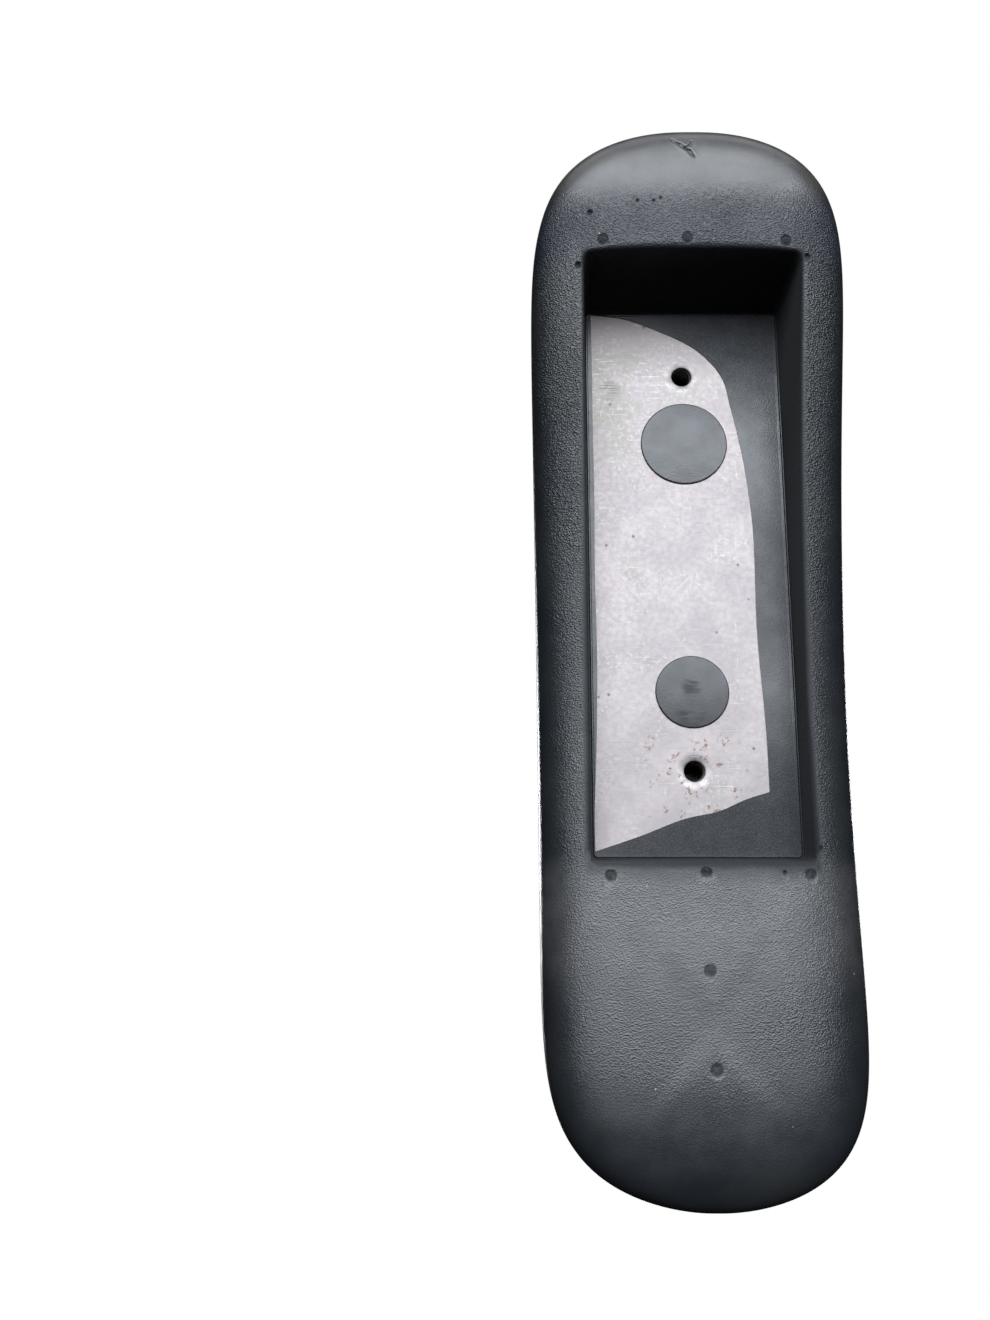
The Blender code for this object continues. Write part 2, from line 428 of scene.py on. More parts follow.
def recess_half(depth, inset=0.0):
    """The right half of the recess's outline at a depth, from its front middle to its rear middle.

    depth is one number for each place round it. inset draws the outline in by that much.
    """
    side = FLOOR_HALF_WIDTH + SIDE_DRAFT * depth - inset
    rear = FLOOR_REAR + REAR_DRAFT * depth - inset
    front = FLOOR_FRONT - FRONT_DRAFT * depth + inset
    corner = np.maximum(FLOOR_CORNER + CORNER_GROWTH * depth - inset, 0.3)
    ends = np.cumsum([FRONT_STEPS, CORNER_STEPS, SIDE_STEPS, CORNER_STEPS, REAR_STEPS])
    place = np.arange(len(depth))
    a, b, c, d, e = (
        np.clip((place - start) / (end - start), 0, 1)
        for start, end in zip([0, *ends[:-1]], ends)
    )
    flat = side - corner
    x = flat * (a - e) + corner * np.sin((b + d) * pi / 2)
    y = front + corner * (1 - np.cos(b * pi / 2)) + (rear - front - 2 * corner) * c
    y += corner * np.sin(d * pi / 2)
    return np.column_stack([x, y])


def walls(depth):
    """Part-frame points of the recess's wall, one for each place round it."""
    return np.column_stack([recess_half(depth), -depth])


def outline_half():
    """Chord plan points of the pad's outline, one for each place round the recess."""
    fine = -np.cos(np.linspace(0, pi, 4001))
    crowd = np.sign(fine) * (1 - (1 - np.abs(fine)) ** 1.7)
    curve = np.column_stack([half_width(crowd), crowd * PAD_LENGTH / 2])
    curve[[0, -1], 0] = 0
    length = np.concatenate([[0], np.cumsum(np.linalg.norm(np.diff(curve, axis=0), axis=1))])
    front = np.interp(FRONT_REACH, curve[:, 1], length)
    rear = np.interp(REAR_REACH, curve[:, 1], length)
    stops = np.concatenate(
        [
            np.linspace(0, front, FRONT_STEPS + CORNER_STEPS + 1),
            np.linspace(front, rear, SIDE_STEPS + 1)[1:],
            np.linspace(rear, length[-1], REAR_STEPS + CORNER_STEPS + 1)[1:],
        ]
    )
    return np.column_stack([np.interp(stops, length, curve[:, k]) for k in (0, 1)])


def bisect(inside, low, high):
    """For each place, the number between low and high where inside(number) turns false."""
    low, high = low.astype(float), high.astype(float)
    for _ in range(40):
        middle = (low + high) / 2
        kept = inside(middle)
        low, high = np.where(kept, middle, low), np.where(kept, high, middle)
    return (low + high) / 2


def surface(first, last, share, above):
    """Chord points of the outer surface, a share of the way from one plan outline to another."""
    plan = first + (last - first) * share[:, None]
    return np.column_stack([plan, chord_z(plan[:, 0], plan[:, 1], above)])


def rim_share(first, last, height, above):
    """The share of that way at which the surface comes to a height off the parting line."""

    def before(share):
        off = drop(*surface(first, last, share, above)[:, :2].T, above)
        return off < height if above else off > height

    return bisect(before, np.zeros(len(first)), np.ones(len(first)))


def mouth_depths(count):
    """How deep the recess is at each place round it."""

    def in_body(depth):
        spot = to_chord(walls(depth))
        return spot[:, 2] > chord_z(spot[:, 0], spot[:, 1], False)

    return bisect(in_body, np.full(count, 0.5), np.full(count, 60.0))


def roll_sizes(place):
    """How far the mouth's rolled edge reaches down the wall and over the underside, at each Y."""
    roll = np.where(place > FLOOR_REAR + 3.0, ROLL_REAR, ROLL_SIDE)
    roll = np.where(place < FLOOR_FRONT - 1.0, ROLL_FRONT, roll)
    lap = np.where(place > FLOOR_REAR + 3.0, LAP_REAR, roll * 1.15)
    for _ in range(40):
        roll, lap = (
            np.convolve(np.pad(size, 1, mode="edge"), [0.25, 0.5, 0.25], mode="valid")
            for size in (roll, lap)
        )
    return roll, lap


def floor_rings(count):
    """The recess's floor, from its middle line to its edge, with its bead and groove."""
    level = np.zeros(count)
    inner = recess_half(level, FLOOR_EDGE[0][0])
    spine = np.column_stack([level, inner[:, 1] * 0.8])
    rings = []
    for share in (0.0, 0.35, 0.7):
        plan = spine + (inner - spine) * share
        rings.append(np.column_stack([plan, level - FILM]))
    for inset, height in FLOOR_EDGE:
        rise = BEAD_HEIGHT if height > 0 else GROOVE_DEPTH
        rings.append(np.column_stack([recess_half(level, inset), level - FILM - height * rise]))
    return rings


def mouth_rings(mouth, roll, over):
    """The recess's wall and the rolled edge of its mouth, which runs out at the points over."""
    foot = mouth - roll
    rings = []
    for share in (0.0, 0.03, 0.09, 0.2, 0.35, 0.5, 0.65, 0.8, 0.92, 1.0):
        rings.append(walls(FILM + 0.15 + (foot - FILM - 0.15) * share))
    start, edge = to_chord(walls(foot)), to_chord(walls(mouth))
    for step in range(1, 10):
        s = step / 10
        bend = start * (1 - s) ** 2 + edge * 2 * s * (1 - s) + over * s * s
        rings.append(to_part(bend))
    return rings


def rim_rings(edge, outline, crown):
    """The pad's rim, from the underside round to the cushion, with the parting seam."""
    along = np.gradient(outline, axis=0)
    outwards = np.column_stack([along[:, 1], -along[:, 0], np.zeros(len(outline))])
    outwards /= np.linalg.norm(outwards, axis=1)[:, None]
    seam = {RIM_HEIGHTS[-1]: 0.4 * SEAM_HEIGHT, RIM_HEIGHTS[-2]: -0.25 * SEAM_HEIGHT}
    rings = []
    for height in RIM_HEIGHTS:
        ring = surface(edge, outline, rim_share(edge, outline, height, False), False)
        rings.append(to_part(ring + outwards * seam.get(height, 0)))
    ring = np.column_stack([outline, parting_z(outline[:, 1] / PAD_LENGTH * 2)])
    rings.append(to_part(ring + outwards * SEAM_HEIGHT))
    for height in RIM_HEIGHTS[::-1]:
        ring = surface(outline, crown, rim_share(outline, crown, height, True), True)
        rings.append(to_part(ring + outwards * seam.get(height, 0)))
    return rings


def body_rings():
    """Half rings of the whole moulding in the part's frame, from the recess floor to the crown."""
    outline = outline_half()
    mouth = mouth_depths(len(outline))
    roll, lap = roll_sizes(walls(mouth)[:, 1])
    edge = to_chord(walls(mouth))[:, :2]
    crown = np.column_stack([np.zeros(len(outline)), outline[:, 1] * CROWN_SHARE])
    first = lap / np.linalg.norm(outline - edge, axis=1)
    last = rim_share(edge, outline, RIM_HEIGHTS[0], False)
    rings = floor_rings(len(outline))
    rings += mouth_rings(mouth, roll, surface(edge, outline, first, False))
    for step in range(UNDERSIDE_STEPS):
        share = 1 - (1 - step / UNDERSIDE_STEPS) ** 1.8
        rings.append(to_part(surface(edge, outline, first + (last - first) * share, False)))
    rings += rim_rings(edge, outline, crown)
    first = rim_share(outline, crown, RIM_HEIGHTS[0], True)
    for step in range(1, CUSHION_STEPS + 1):
        share = (step / CUSHION_STEPS) ** 1.8
        rings.append(to_part(surface(outline, crown, first + (1 - first) * share, True)))
    return rings


def body_mesh():
    rings = body_rings()
    half = len(rings[0])
    loop = [(i, 1) for i in range(half)] + [(i, -1) for i in range(half - 2, 0, -1)]
    count = len(loop)
    picked = [i for i, _ in loop]
    mirror = np.array([side for _, side in loop])
    points = []
    for ring in rings:
        full = ring[picked].copy()
        full[:, 0] *= mirror
        points.append(full)
    faces = []
    for row in range(len(rings) - 1):
        for i in range(count):
            j = (i + 1) % count
            low, high = row * count, (row + 1) * count
            faces.append((low + i, low + j, high + j, high + i))
    mesh = mesh_from("moulded_pad", np.concatenate(points), faces)
    shape = bmesh.new()
    shape.from_mesh(mesh)
    bmesh.ops.remove_doubles(shape, verts=shape.verts, dist=1e-6)
    bmesh.ops.recalc_face_normals(shape, faces=shape.faces)
    cut_marks(shape)
    shape.to_mesh(mesh)
    shape.free()
    return mesh


def from_path(spot, path):
    """The distance of a point from a path, in its own plane."""
    nearest = 1e9
    for a, b in zip(path, path[1:]):
        start, run = Vector(a), Vector(b) - Vector(a)
        share = max(0.0, min(1.0, (spot - start).dot(run) / run.length_squared))
        nearest = min(nearest, (spot - start - run * share).length)
    return nearest


def mark_relief(spot, chance):
    """How far, in millimetres, the marks raise or sink the underside at a point."""
    rise = 0.0
    for place in VENT_SCARS:
        away = (spot - Vector(place)).length
        if away < VENT_RADIUS * 3:
            rise -= VENT_DEPTH * np.exp(-(((away - VENT_RADIUS) / 0.36) ** 2))
            if away < VENT_RADIUS * 0.8:
                rise += chance.uniform(-0.12, 0.02)
    for x, y, radius in PITS:
        away = (spot - Vector((x, y))).length
        rise -= 1.1 * radius * np.exp(-((away / radius) ** 4))
    for path, depth in ((TEAR, 0.42), (TEAR_BRANCH, 0.3)):
        away = from_path(spot, path)
        if away < 2.5:
            ragged = 0.32 + 0.12 * sin(spot.x * 1.9 + spot.y * 1.1)
            rise -= depth * np.exp(-((away / ragged) ** 2))
            rise += 0.05 * np.exp(-(((away - 0.95) / 0.35) ** 2))
    return rise


def cut_marks(shape):
    """Refines the underside round each mark, keeps it on its curve, and sinks the marks."""
    chance = Random(7)
    reaches = [(Vector(place), 3.0) for place in VENT_SCARS]
    reaches += [(Vector((x, y)), radius + 1.3) for x, y, radius in PITS]
    reaches += [(Vector(place), 2.2) for place in TEAR + TEAR_BRANCH]
    edges = set()
    for face in shape.faces:
        centre = face.calc_center_median() / MM
        if centre.z < -4.0 and face.normal.z < -0.35:
            if any((centre.xy - place).length < reach for place, reach in reaches):
                edges.update(face.edges)
    shape.edges.index_update()
    edges = sorted(edges, key=lambda edge: edge.index)
    made = bmesh.ops.subdivide_edges(shape, edges=edges, cuts=5, use_grid_fill=True)
    shape.normal_update()
    moves = []
    inner = {v for v in made["geom_inner"] if isinstance(v, bmesh.types.BMVert)}
    inner.update(v for edge in edges if edge.is_valid for v in edge.verts)
    shape.verts.index_update()
    for vert in sorted(inner, key=lambda vert: vert.index):
        spot = to_chord(np.array(vert.co) / MM)
        curve = chord_z(spot[:1], spot[1:2], False)[0]
        if abs(spot[2] - curve) < 0.05:
            spot[2] = curve
        place = Vector(to_part(spot))
        moves.append((vert, (place + vert.normal * mark_relief(place.xy, chance)) * MM))
    for vert, place in moves:
        vert.co = place
    bmesh.ops.recalc_face_normals(shape, faces=shape.faces)


def insert_outline():
    shoulder = (SHEET_HALF_WIDTH - TONGUE_HALF_WIDTH) / 2
    half = [
        (TONGUE_HALF_WIDTH, TONGUE_FRONT, TONGUE_CORNER),
        (TONGUE_HALF_WIDTH, SHEET_FRONT - shoulder, 3.0),
        (SHEET_HALF_WIDTH, SHEET_FRONT, 6.0),
        (SHEET_HALF_WIDTH, SHEET_REAR, SHEET_REAR_CORNER),
    ]
    return rounded(half + [(-x, y, radius) for x, y, radius in half[::-1]])


def screw_places():
    """Y of each weld nut, in millimetres, by its node."""
    places = {}
    for node in ("weld_nut_front", "weld_nut_rear"):
        low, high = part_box(node)
        places[node] = (low.y + high.y) / 2 / MM
    return places


def make_moulding(finish):
    pad = link("moulded_pad", body_mesh(), finish)
    slab = prism(grown(insert_outline(), EDGE_GAP), -BOND_GAP, SHEET + BOND_GAP, "slab")
    boolean(pad, link("slab", slab), "DIFFERENCE")
    outline = [spot for run in WINDOW for spot in smooth_run(run)]
    window = prism(outline, -2.0, 1.0, "window")
    boolean(pad, link("window", window), "DIFFERENCE")
    for y in screw_places().values():
        outline = circle(0, y, (NUT_ACROSS_FLATS + NUT_GAP) / cos(pi / 6), 6)
        boolean(pad, link("pocket", prism(outline, 2.0, NUT_POCKET_TOP, "pocket")), "DIFFERENCE")
        pin = prism(circle(0, y, PIN_HOLE, 32), NUT_POCKET_TOP - 1.0, PIN_HOLE_TOP, "pin")
        boolean(pad, link("pin", pin), "DIFFERENCE")
    for y, diameter in (REAR_KEY, FRONT_KEY, TONGUE_KEY):
        proud = PLUG_PROUD if diameter > 17 else -0.3
        profile = [
            (diameter - 0.9, -proud),
            (diameter - 0.5, -proud + 0.03),
            (diameter - 0.2, -proud + 0.12),
            (diameter - 0.06, -proud + 0.25),
            (diameter - 0.06, SHEET + 1.5),
        ]
        plug = link("plug", turned(0, y, profile, "plug", 96))
        boolean(pad, plug, "UNION")
    pad.data.materials.clear()
    pad.data.materials.append(finish)
    shade(pad.data)
    pad.name = pad.data.name = "moulded_pad"
    return pad


# --- insert and nuts -----------------------------------------------------------------------------


def make_insert(finish):
    edge = 0.25
    outline = insert_outline()
    rings = [
        [(x, y, 0.0) for x, y in grown(outline, -edge)],
        [(x, y, edge) for x, y in outline],
        [(x, y, SHEET - edge) for x, y in outline],
        [(x, y, SHEET) for x, y in grown(outline, -edge)],
    ]
    plate = link("steel_insert", tube(rings, "steel_insert"), finish)
    for y, diameter in (REAR_KEY, FRONT_KEY, TONGUE_KEY):
        hole = prism(circle(0, y, diameter, 96), -3, SHEET + 3, "hole")
        boolean(plate, link("hole", hole), "DIFFERENCE")
    for y in screw_places().values():
        profile = [
            (DISH + 0.6, -1.0),
            (DISH + 0.6, -0.002),
            (DISH - 0.6, 0.03),
            (DISH - 1.8, 0.12),
            (DISH - 2.8, 0.25),
            (SCREW_HOLE + 0.5, DISH_DEPTH),
            (SCREW_HOLE + 0.15, DISH_DEPTH + 0.1),
            (SCREW_HOLE, DISH_DEPTH + 0.35),
            (SCREW_HOLE, SHEET + 1),
        ]
        hole = turned(0, y, profile, "hole")
        boolean(plate, link("hole", hole), "DIFFERENCE")
    plate.data.materials.clear()
    plate.data.materials.append(finish)
    shade(plate.data, 40)
    weigh = plate.modifiers.new("flat_faces", "WEIGHTED_NORMAL")
    weigh.keep_sharp = True
    plate.name = plate.data.name = "steel_insert"
    return plate


def make_nut(name, y, finish):
    """A hexagonal weld nut with a turned-looking helical M6 thread in its bore."""
    sides, low, high = 48, SHEET + 0.03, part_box("weld_nut_rear")[1].z / MM
    rows = 40
    rings = []
    for row in range(rows + 1):
        z = low + (high - low) * row / rows
        ring = []
        for i in range(sides):
            angle = 2 * pi * i / sides
            phase = (z / THREAD_PITCH - angle / (2 * pi)) % 1
            radius = THREAD / 2 - 0.15 - 0.5 * abs(2 * phase - 1)
            ring.append((radius * cos(angle), y + radius * sin(angle), z))
        rings.append(ring)
    flat = NUT_ACROSS_FLATS / 2
    for z, shrink in ((high, 0.4), (high - 0.3, 0.0), (low + 0.3, 0.0), (low, 0.4)):
        ring = []
        for i in range(sides):
            angle = 2 * pi * i / sides
            reach = (flat - shrink) / cos((angle + pi / 6) % (pi / 3) - pi / 6)
            ring.append((reach * cos(angle), y + reach * sin(angle), z))
        rings.append(ring)
    nut = link(name, tube(rings, name, closed=True), finish)
    shade(nut.data, 30)
    return nut


# --- materials -----------------------------------------------------------------------------------


class Graph:
    """A short way to write a material's nodes."""

    def __init__(self, name):
        self.material = bpy.data.materials.new(name)
        self.material.use_nodes = True
        self.tree = self.material.node_tree
        self.shader = self.tree.nodes["Principled BSDF"]

    def node(self, kind, inputs=None, **settings):
        made = self.tree.nodes.new(kind)
        for key, value in settings.items():
            setattr(made, key, value)
        for key, value in (inputs or {}).items():
            self.put(made.inputs[key], value)
        return made

    def put(self, socket, value):
        if isinstance(value, bpy.types.NodeSocket):
            self.tree.links.new(value, socket)
        else:
            socket.default_value = value

    def place(self, scale=(1, 1, 1), turn=(0, 0, 0)):
        """The object's own coordinates in millimetres, scaled and turned."""
        coordinates = self.node("ShaderNodeTexCoord").outputs["Object"]
        scaled = tuple(s / MM for s in scale)
        made = self.node("ShaderNodeMapping", {"Vector": coordinates, "Scale": scaled})
        made.inputs["Rotation"].default_value = turn
        return made.outputs["Vector"]

    def noise(self, size, detail=2.0, place=None, roughness=0.5):
        """Noise with features about size millimetres across."""
        vector = place or self.place()
        made = self.node(
            "ShaderNodeTexNoise",
            {"Vector": vector, "Scale": 1 / size, "Detail": detail, "Roughness": roughness},
        )
        return made.outputs["Fac"]

    def maths(self, operation, a, b=0.0, clamp=False):
        made = self.node("ShaderNodeMath", operation=operation, use_clamp=clamp)
        self.put(made.inputs[0], a)
        self.put(made.inputs[1], b)
        return made.outputs[0]

    def ramp(self, value, low, high, start=0.0, end=1.0):
        """value's stretch from low to high, spread smoothly over start to end."""
        made = self.node(
            "ShaderNodeMapRange",
            {"Value": value, "From Min": low, "From Max": high, "To Min": start, "To Max": end},
            interpolation_type="SMOOTHSTEP",
        )
        return made.outputs["Result"]

    def near(self, place, spot, inner, outer):
        """1 within inner millimetres of a spot, fading to 0 at outer."""
        away = self.node("ShaderNodeVectorMath", {0: place, 1: spot}, operation="DISTANCE")
        return self.ramp(away.outputs["Value"], inner, outer, 1.0, 0.0)

    def marked(self, name):
        """A mark that mark_surfaces wrote on the moulding's points, from 0 to 1."""
        return self.node("ShaderNodeAttribute", attribute_name=name).outputs["Fac"]

    def mix(self, share, first, second):
        made = self.node("ShaderNodeMix", data_type="RGBA")
        self.put(made.inputs["Factor"], share)
        self.put(made.inputs[6], first)
        self.put(made.inputs[7], second)
        return made.outputs[2]


def dull_and_shaded_film(g, fine):
    """Where the film on the steel lost its gloss, and the painted shade at the foot of the rear wall,
    with a little of the gloss loss on the front plug.
    """
    here = g.place()
    dull_and_shade = g.near(here, FRONT_DULL, 26.0, 64.0)
    # painted shade at the foot of the rear wall, where the film is dulled as well
    dull_and_shade = g.maths("MAXIMUM", dull_and_shade, g.near(here, REAR_DULL_AND_SHADE, 6.0, 36.0))
    faded = g.maths("MULTIPLY", g.near(here, SIDE_DULL, 8.0, 36.0), 0.32)
    dull_and_shade = g.maths("MAXIMUM", dull_and_shade, faded)
    plug = g.near(here, (0, FRONT_KEY[0], 0), 9.4, 9.9)
    dull_and_shade = g.maths("MULTIPLY", dull_and_shade, g.maths("SUBTRACT", 1.0, plug))
    dull_and_shade = g.maths("ADD", dull_and_shade, g.maths("MULTIPLY", plug, 0.14))
    dull_and_shade = g.maths("MULTIPLY", dull_and_shade, g.marked("recess"))
    return g.maths("MULTIPLY", dull_and_shade, g.ramp(fine, 0.3, 0.7, 0.6, 1.0))


def plug_smudge(g):
    """The dark smudges on the front plug, drawn out across it."""
    here = g.place()
    crease = g.noise(1.0, 3.0, place=g.place((0.25, 1.1, 1.0), (0, 0, 0.05)))
    smudge = g.near(here, (0.3, FRONT_KEY[0] + 1.2, 0), 1.2, 3.4)
    smudge = g.maths("MAXIMUM", smudge, g.near(here, (0.8, FRONT_KEY[0] - 6.6, 0), 1.5, 5.5))
    return g.maths("MULTIPLY", smudge, g.ramp(crease, 0.35, 0.6))


def foam_grain(g, fine):
    """The skin's grain: rounded cells, a little drawn out, with finer noise over them."""
    warp = g.node("ShaderNodeTexNoise", {"Vector": g.place(), "Scale": 0.9, "Detail": 2.0})
    push = g.node(
        "ShaderNodeVectorMath",
        {0: g.place((1.0, 1.3, 1.15)), 1: warp.outputs["Color"]},
        operation="ADD",
    )
    cells = g.node(
        "ShaderNodeTexVoronoi",
        {"Vector": push.outputs[0], "Scale": 2.0, "Smoothness": 0.35},
        feature="SMOOTH_F1",
    )
    return g.maths("ADD", cells.outputs["Distance"], g.maths("MULTIPLY", fine, 0.45))


def foam_bump(g, fine, dull_and_shade, outer):
    """The grain, strong outside the recess and weak where the mould was smooth, and the sinks."""
    strength = g.maths("MULTIPLY", outer, g.ramp(g.marked("smooth"), 0.0, 1.0, 1.0, 0.22))
    strength = g.maths("MULTIPLY", strength, g.ramp(g.noise(18.0), 0.3, 0.7, 0.75, 1.15))
    crisp = g.maths("ADD", g.maths("MULTIPLY", g.marked("crisp"), 1.3), 1.0)
    strength = g.maths("MULTIPLY", strength, crisp)
    strength = g.maths("ADD", strength, g.maths("MULTIPLY", dull_and_shade, 0.5))
    sag = g.maths("MULTIPLY", g.noise(12.0, 1.0), 0.4)
    sag = g.maths("ADD", sag, g.maths("MULTIPLY", g.marked("sink"), 2.6))
    height = g.maths("ADD", g.maths("MULTIPLY", foam_grain(g, fine), strength), sag)
    bump = g.node("ShaderNodeBump", {"Height": height, "Distance": 0.085 * MM, "Strength": 1.0})
    return bump.outputs["Normal"]


def foam_colour(g, dull_and_shade, smudge, outer):
    """Near black in soft patches, with one layer over it for each kind of mark. Some layers are
    painted light and shade, as noted below.
    """
    patch = g.ramp(g.noise(24.0, 4.0), 0.35, 0.65)
    base = g.mix(patch, (0.008, 0.0095, 0.012, 1), (0.013, 0.0145, 0.016, 1))
    wear_and_light_patches = g.ramp(g.noise(9.0, 5.0, roughness=0.65), 0.35, 0.65, 0.45, 0.85)
    film = g.ramp(g.noise(6.0, 5.0, roughness=0.6), 0.4, 0.7)
    ragged = g.ramp(g.noise(0.9, 3.0), 0.42, 0.6, 0.15, 0.9)
    dust = g.node("ShaderNodeTexVoronoi", {"Vector": g.place(), "Scale": 1 / 9.0})
    speck = g.ramp(dust.outputs["Distance"], 0.018, 0.03, 1.0, 0.0)
    for mark, strength, colour in (
        # the sink marks' wedges painted lighter and bluer: a painted sheen over real sinks
        (g.marked("sink"), 0.5, (0.016, 0.017, 0.024, 1)),
        (g.marked("worn"), wear_and_light_patches, (0.040, 0.038, 0.036, 1)),
        # the start of the nose painted paler: painted light
        (g.marked("nose_painted_light"), wear_and_light_patches, (0.040, 0.041, 0.043, 1)),
        # the band between the rear end and the recess painted darker: painted shade
        (g.marked("band"), 0.8, (0.005, 0.0055, 0.013, 1)),
        (g.marked("recess"), film, (0.014, 0.016, 0.020, 1)),
        # the film's dull patches painted darker; at the foot of the rear wall this is painted shade
        (dull_and_shade, 0.8, (0.004, 0.0055, 0.009, 1)),
        # the side and rear walls painted near black: painted shade in the recess
        (g.marked("wall"), 0.9, (0.002, 0.0025, 0.004, 1)),
        # vent scars and pits: torn foam, painted darker as painted shade in their hollows
        (g.marked("torn_and_pit_shade"), ragged, (0.003, 0.003, 0.004, 1)),
        (smudge, 0.75, (0.003, 0.004, 0.006, 1)),
        (speck, outer, (0.2, 0.2, 0.2, 1)),
    ):
        base = g.mix(g.maths("MULTIPLY", mark, strength), base, colour)
    return base


def foam_material():
    g = Graph("integral_skin_foam")
    fine = g.noise(0.35, 2.0)
    dull_and_shade, smudge = dull_and_shaded_film(g, fine), plug_smudge(g)
    outer = g.maths("SUBTRACT", 1.0, g.maths("MULTIPLY", g.marked("recess"), 0.86), clamp=True)
    g.put(g.shader.inputs["Normal"], foam_bump(g, fine, dull_and_shade, outer))
    g.put(g.shader.inputs["Base Color"], foam_colour(g, dull_and_shade, smudge, outer))
    rough = g.ramp(g.noise(7.0, 5.0, roughness=0.6), 0.3, 0.7, 0.32, 0.40)
    for mark, more in (
        (g.marked("band"), 0.09),
        (g.marked("wall"), 0.56),
        (dull_and_shade, 0.45),
        (smudge, 0.22),
        (g.marked("torn_and_pit_shade"), 0.4),
    ):
        rough = g.maths("ADD", rough, g.maths("MULTIPLY", mark, more), clamp=True)
    g.put(g.shader.inputs["Roughness"], rough)
    g.shader.inputs["Specular IOR Level"].default_value = 0.55
    g.shader.inputs["Specular Tint"].default_value = (0.93, 0.97, 1.0, 1)
    return g.material


def zinc_material():
    g = Graph("zinc_plated_sheet")
    here = g.place()
    blotch = g.ramp(g.noise(14.0, 5.0, roughness=0.6), 0.38, 0.62)
    mottle = g.ramp(g.noise(1.4, 5.0, roughness=0.7), 0.3, 0.7)
    base = g.mix(blotch, (0.236, 0.223, 0.232, 1), (0.280, 0.266, 0.272, 1))
    tarnish = g.ramp(g.noise(10.0, 4.0, roughness=0.7), 0.52, 0.72)
    aged = g.near(here, TARNISHED, 10.0, 34.0)
    tarnish = g.maths("MAXIMUM", g.maths("MULTIPLY", tarnish, 0.7), g.maths("MULTIPLY", aged, blotch))
    base = g.mix(g.maths("MULTIPLY", tarnish, 0.85), base, (0.186, 0.188, 0.168, 1))
    base = g.mix(g.maths("MULTIPLY", mottle, 0.35), base, (0.33, 0.30, 0.305, 1))
    # scuffs: fine pale strokes across the sheet, in patches
    strokes = g.noise(1.0, 2.0, place=g.place((0.09, 2.6, 1.0), (0, 0, 0.08)))
    cross = g.noise(1.0, 2.0, place=g.place((2.4, 0.14, 1.0), (0, 0, 0.4)))
    stroke = g.maths("MAXIMUM", g.ramp(strokes, 0.62, 0.72), g.ramp(cross, 0.66, 0.76))
    patchy = g.maths("ADD", g.noise(10.0, 3.0), g.maths("MULTIPLY", aged, 0.12))
    patchy = g.ramp(patchy, 0.46, 0.64)
    scuffed = g.maths("MULTIPLY", stroke, patchy)
    base = g.mix(g.maths("MULTIPLY", scuffed, 0.7), base, (0.46, 0.45, 0.45, 1))
    scrape = g.maths("MULTIPLY", g.ramp(g.noise(0.9, 4.0), 0.5, 0.68), patchy)
    base = g.mix(g.maths("MULTIPLY", scrape, 0.35), base, (0.42, 0.41, 0.41, 1))
    # the bright rings round the screw holes, on the slopes of their dishes: chafing by washers, and
    # partly a painted highlight of the dish slopes; and a dark smear
    chafe_and_glint = g.ramp(g.noise(2.2, 3.0), 0.36, 0.6, 0.05, 0.6)
    for y in screw_places().values():
        ring = g.near(here, (0.5, y - 0.4, 0), 3.9, 5.0)
        base = g.mix(g.maths("MULTIPLY", ring, chafe_and_glint), base, (0.40, 0.39, 0.39, 1))
    smear = g.maths("MULTIPLY", g.near(here, SMEARED, 0.8, 4.0), g.ramp(strokes, 0.4, 0.6))
    base = g.mix(g.maths("MULTIPLY", smear, 0.75), base, (0.09, 0.085, 0.08, 1))
    # dark specks, and rust that crept from the front screw hole
    dots = g.node("ShaderNodeTexVoronoi", {"Vector": here, "Scale": 1 / 7.5})
    speck = g.ramp(dots.outputs["Distance"], 0.035, 0.075, 0.75, 0.0)
    base = g.mix(speck, base, (0.09, 0.07, 0.06, 1))
    rust = g.ramp(g.noise(1.2, 4.0, roughness=0.65), 0.52, 0.6)
    rust = g.maths("MULTIPLY", rust, g.ramp(g.noise(4.5, 2.0), 0.55, 0.62))
    rust = g.maths("MULTIPLY", rust, g.near(here, RUSTY, 11.0, 19.0))
    base = g.mix(g.maths("MULTIPLY", rust, 0.85), base, (0.13, 0.075, 0.04, 1))
    g.put(g.shader.inputs["Base Color"], base)
    g.shader.inputs["Metallic"].default_value = 0.85
    g.put(g.shader.inputs["Roughness"], g.ramp(mottle, 0, 1, 0.56, 0.64))
    height = g.maths("ADD", g.noise(3.0, 4.0), g.maths("MULTIPLY", stroke, -0.4))
    bump = g.node("ShaderNodeBump", {"Height": height, "Distance": 0.03 * MM, "Strength": 1.0})
    g.put(g.shader.inputs["Normal"], bump.outputs["Normal"])
    return g.material


def nut_material():
    g = Graph("zinc_plated_nut")
    # a near-black base: painted shade for the dark bores of the screw holes
    base = g.mix(g.noise(2.0, 3.0), (0.025, 0.023, 0.02, 1), (0.06, 0.055, 0.05, 1))
    g.put(g.shader.inputs["Base Color"], base)
    g.shader.inputs["Metallic"].default_value = 1.0
    g.put(g.shader.inputs["Roughness"], g.ramp(g.noise(1.0), 0.3, 0.7, 0.3, 0.5))
    return g.material


